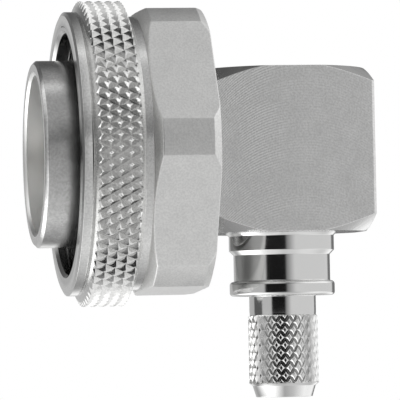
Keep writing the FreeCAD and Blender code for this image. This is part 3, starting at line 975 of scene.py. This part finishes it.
INSULATOR_CHAMFER = 0.3
front_insulator = turned("front_insulator_disc", [
    (INSULATOR_FRONT, PIN_WAIST, 0),
    (INSULATOR_FRONT, LINE_BORE - INSULATOR_CHAMFER, 0.05),
    (INSULATOR_FRONT + INSULATOR_CHAMFER, LINE_BORE, 0),
    (LINE_END, LINE_BORE, 0),
    (LINE_END, PIN_WAIST, 0),
])
stem_insulator = turned("stem_insulator_sleeve", [
    (LINE_END, STEM_RADIUS, 0),
    (LINE_END, STEM_SLEEVE, 0),
    (SPIGOT_END, STEM_SLEEVE, 0),
    (SPIGOT_END, STEM_RADIUS, 0),
], columns=HIDDEN_COLUMNS)
neck_insulator = turned("neck_insulator_sleeve", [
    (NECK_BORE_TOP, CONTACT_RADIUS, 0),
    (NECK_BORE_TOP, NECK_SEAT, 0),
    (CHAMBER_BOTTOM, NECK_SEAT, 0),
    (CHAMBER_BOTTOM, CONTACT_RADIUS, 0),
], "Z", NECK_AXIS, columns=HIDDEN_COLUMNS)
dress(front_insulator, fluoropolymer, "connector", "white_insulator", "front_insulator")
dress(stem_insulator, fluoropolymer, "connector", "white_insulator", "stem_insulator")
dress(neck_insulator, fluoropolymer, "connector", "white_insulator", "neck_insulator")

# Studio. A pale floor well below the part, which fades into a white backdrop, and
# soft light cards round it. The camera looks at the nut's side, a little from the
# mating end and from just below the plug axis.
VIEW_TURN = math.radians(9.6)
VIEW_LIFT = math.radians(-2.64)
VIEW_ROLL = math.radians(1.138)
VIEW_DISTANCE = 450.0
LENS = 355.3
FRAME_RIGHT = 0.087
FRAME_DOWN = 5.387
ahead = Vector((
    math.sin(VIEW_TURN) * math.cos(VIEW_LIFT),
    math.cos(VIEW_TURN) * math.cos(VIEW_LIFT),
    -math.sin(VIEW_LIFT),
))
level_right = Vector((math.cos(VIEW_TURN), -math.sin(VIEW_TURN), 0))
level_up = level_right.cross(ahead)
right = level_right * math.cos(VIEW_ROLL) - level_up * math.sin(VIEW_ROLL)
up = level_up * math.cos(VIEW_ROLL) + level_right * math.sin(VIEW_ROLL)
middle = Vector((BLOCK_LEFT, 0, 0))
look_from = middle - ahead * VIEW_DISTANCE
aim = (middle + right * FRAME_RIGHT - up * FRAME_DOWN - look_from).normalized()
right = aim.cross(up).normalized()
up = right.cross(aim)
camera_data = bpy.data.cameras.new("camera")
camera_data.lens = LENS
camera_data.sensor_width = 36.0
camera_data.clip_start = 0.01
camera_data.clip_end = 20.0
camera = bpy.data.objects.new("camera", camera_data)
bpy.context.scene.collection.objects.link(camera)
camera.matrix_world = Matrix((
    (right.x, up.x, -aim.x, look_from.x * MM),
    (right.y, up.y, -aim.y, look_from.y * MM),
    (right.z, up.z, -aim.z, look_from.z * MM),
    (0, 0, 0, 1),
))
bpy.context.scene.camera = camera
bpy.context.scene.view_settings.view_transform = "Standard"

FLOOR_TOP = -60.0
FLOOR_FOOT = -61.0
FLOOR_RADIUS = 700.0
floor = turned("floor", [
    (FLOOR_TOP, 0, 0),
    (FLOOR_TOP, FLOOR_RADIUS, 0),
    (FLOOR_FOOT, FLOOR_RADIUS, 0),
    (FLOOR_FOOT, 0, 0),
], "Z", NECK_AXIS, columns=64)
floor_paint, place = open_material("floor_paint")
along, side, height = split(place)
fade = around(along - NECK_AXIS, side).rise(150.0, 500.0)
pale = place.node("ShaderNodeBsdfDiffuse", None, {"Color": (0.8, 0.8, 0.8, 1)})
glow = place.node("ShaderNodeEmission", None, {"Color": (1, 1, 1, 1), "Strength": 0.45})
lit = place.node("ShaderNodeAddShader", None, {0: pale, 1: glow})
white = place.node("ShaderNodeEmission", None, {"Color": (1, 1, 1, 1), "Strength": 1.0})
paint = place.node("ShaderNodeMixShader", None, {0: fade, 1: lit, 2: white})
looked_at = place.node("ShaderNodeLightPath", output="Is Camera Ray")
underside = place.node("ShaderNodeNewGeometry", output="Backfacing")
shown_side = looked_at * height.rise(FLOOR_TOP - 0.6, FLOOR_TOP - 0.4) * (1.0 - underside)
clear = place.node("ShaderNodeBsdfTransparent")
blend = place.node("ShaderNodeMixShader", None, {0: shown_side, 1: clear, 2: paint})
floor_output = place.tree.nodes.new("ShaderNodeOutputMaterial")
place.tree.links.new(blend.socket, floor_output.inputs["Surface"])
floor.data.materials.append(floor_paint)

studio = bpy.data.worlds.new("studio")
studio.use_nodes = True
studio.node_tree.nodes.clear()
bpy.context.scene.world = studio
direction = Wire(studio.node_tree).node("ShaderNodeTexCoord", output="Generated")
toward = Vector((-math.sin(VIEW_TURN), -math.cos(VIEW_TURN), 0))


def dot(vector, other):
    inputs = {0: vector, 1: tuple(other)}
    return vector.node("ShaderNodeVectorMath", {"operation": "DOT_PRODUCT"}, inputs, "Value")


azimuth = dot(direction, level_right).math("ARCTAN2", dot(direction, toward)) / (2 * math.pi) + 0.5
elevation = dot(direction, (0, 0, 1)).math("ARCSINE") * math.degrees(1)
# The light's brightness in rings round the part. Each ring has its elevation and pairs
# of an azimuth and the brightness there, in degrees, where 0 is the camera's side.
HORIZON = [
    (-180, 0.54), (-119, 0.54), (-115, 0.125), (-79, 0.125), (-75, 0.60), (-41, 0.60),
    (-37, 0.01), (7, 0.01), (11, 0.25), (30, 0.78), (138, 0.78), (144, 0.20), (180, 0.20),
]
RINGS = [
    (-80, [(-180, 0.6), (-60, 0.95), (20, 0.75), (90, 0.85), (180, 0.6)]),
    (-40, [
        (-180, 0.3), (-150, 0.3), (-125, 2.8), (-50, 1.7), (0, 0.5), (40, 0.7), (90, 1.2),
        (180, 0.3),
    ]),
    (-16, [
        (-180, 1.2), (-150, 0.5), (-118, 0.4), (-82, 0.5), (-70, 1.6), (-25, 0.2), (20, 0.5),
        (90, 1.2), (180, 1.2),
    ]),
    (-7, HORIZON),
    (7, HORIZON),
    (16, [
        (-180, 0.12), (-118, 0.2), (-82, 0.3), (-65, 0.7), (-25, 0.2), (15, 0.15), (60, 1.0),
        (120, 1.3), (180, 0.12),
    ]),
    (40, [
        (-180, 0.1), (-125, 0.12), (-105, 1.3), (-75, 0.9), (-15, 0.8), (12, 0.25), (60, 1.3),
        (120, 1.2), (180, 0.1),
    ]),
    (75, [(-180, 0.25), (-90, 0.5), (-20, 0.6), (20, 0.35), (90, 1.0), (180, 0.25)]),
]
level = None
lower_ring = None
for ring_elevation, stops in RINGS:
    ramp = [(turn / 360 + 0.5, grey) for turn, grey in stops]
    ring_level = azimuth.node("ShaderNodeValToRGB", {"stops": ramp}, {0: azimuth})
    if level is None:
        level = ring_level
    else:
        level = elevation.rise(lower_ring, ring_elevation).mix(level, ring_level)
    lower_ring = ring_elevation
seen = direction.node("ShaderNodeLightPath", output="Is Camera Ray")
shown = seen.mix(level, 1.0)
grey = shown.node("ShaderNodeCombineColor", None, {0: shown, 1: shown, 2: shown})
sky = shown.node("ShaderNodeBackground", None, {"Color": grey, "Strength": 1.0})
world_output = studio.node_tree.nodes.new("ShaderNodeOutputWorld")
studio.node_tree.links.new(sky.socket, world_output.inputs["Surface"])
